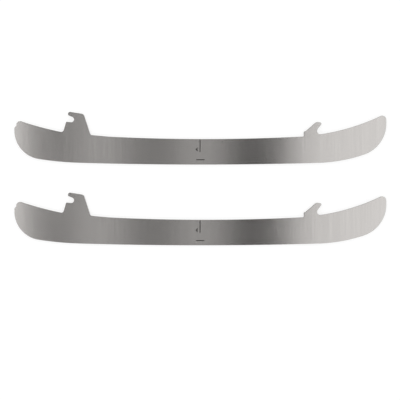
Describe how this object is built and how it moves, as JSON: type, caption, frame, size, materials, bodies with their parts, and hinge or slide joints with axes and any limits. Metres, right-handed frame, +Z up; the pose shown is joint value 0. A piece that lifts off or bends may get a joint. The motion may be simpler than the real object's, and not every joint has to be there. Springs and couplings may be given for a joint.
{
  "type": "hockey skate blade",
  "caption": "Pair of loose steel runners for hockey skates, each a flat ground plate with a rockered edge, a heel tab notched for a latch and a toe hook.",
  "frame": {"origin": "middle of the pair, on the surface that both runners lie on", "axes": "+X to the toes, +Y from the gliding edges to the hooks, +Z up out of the surface, through the thickness of the plates"},
  "size_m": [0.28, 0.1004, 0.003],
  "materials": {
    "ground_steel": "fine cross-ground stainless steel, not polished"
  },
  "bodies": {
    "right_runner": {"right_runner": "ground_steel"},
    "left_runner": {"left_runner": "ground_steel"}
  },
  "joints": [
    {"name": "left_runner_lift", "type": "slide", "parent": "right_runner", "child": "left_runner", "axis": [0, 0, 1], "range_m": [0, 0.1]}
  ]
}
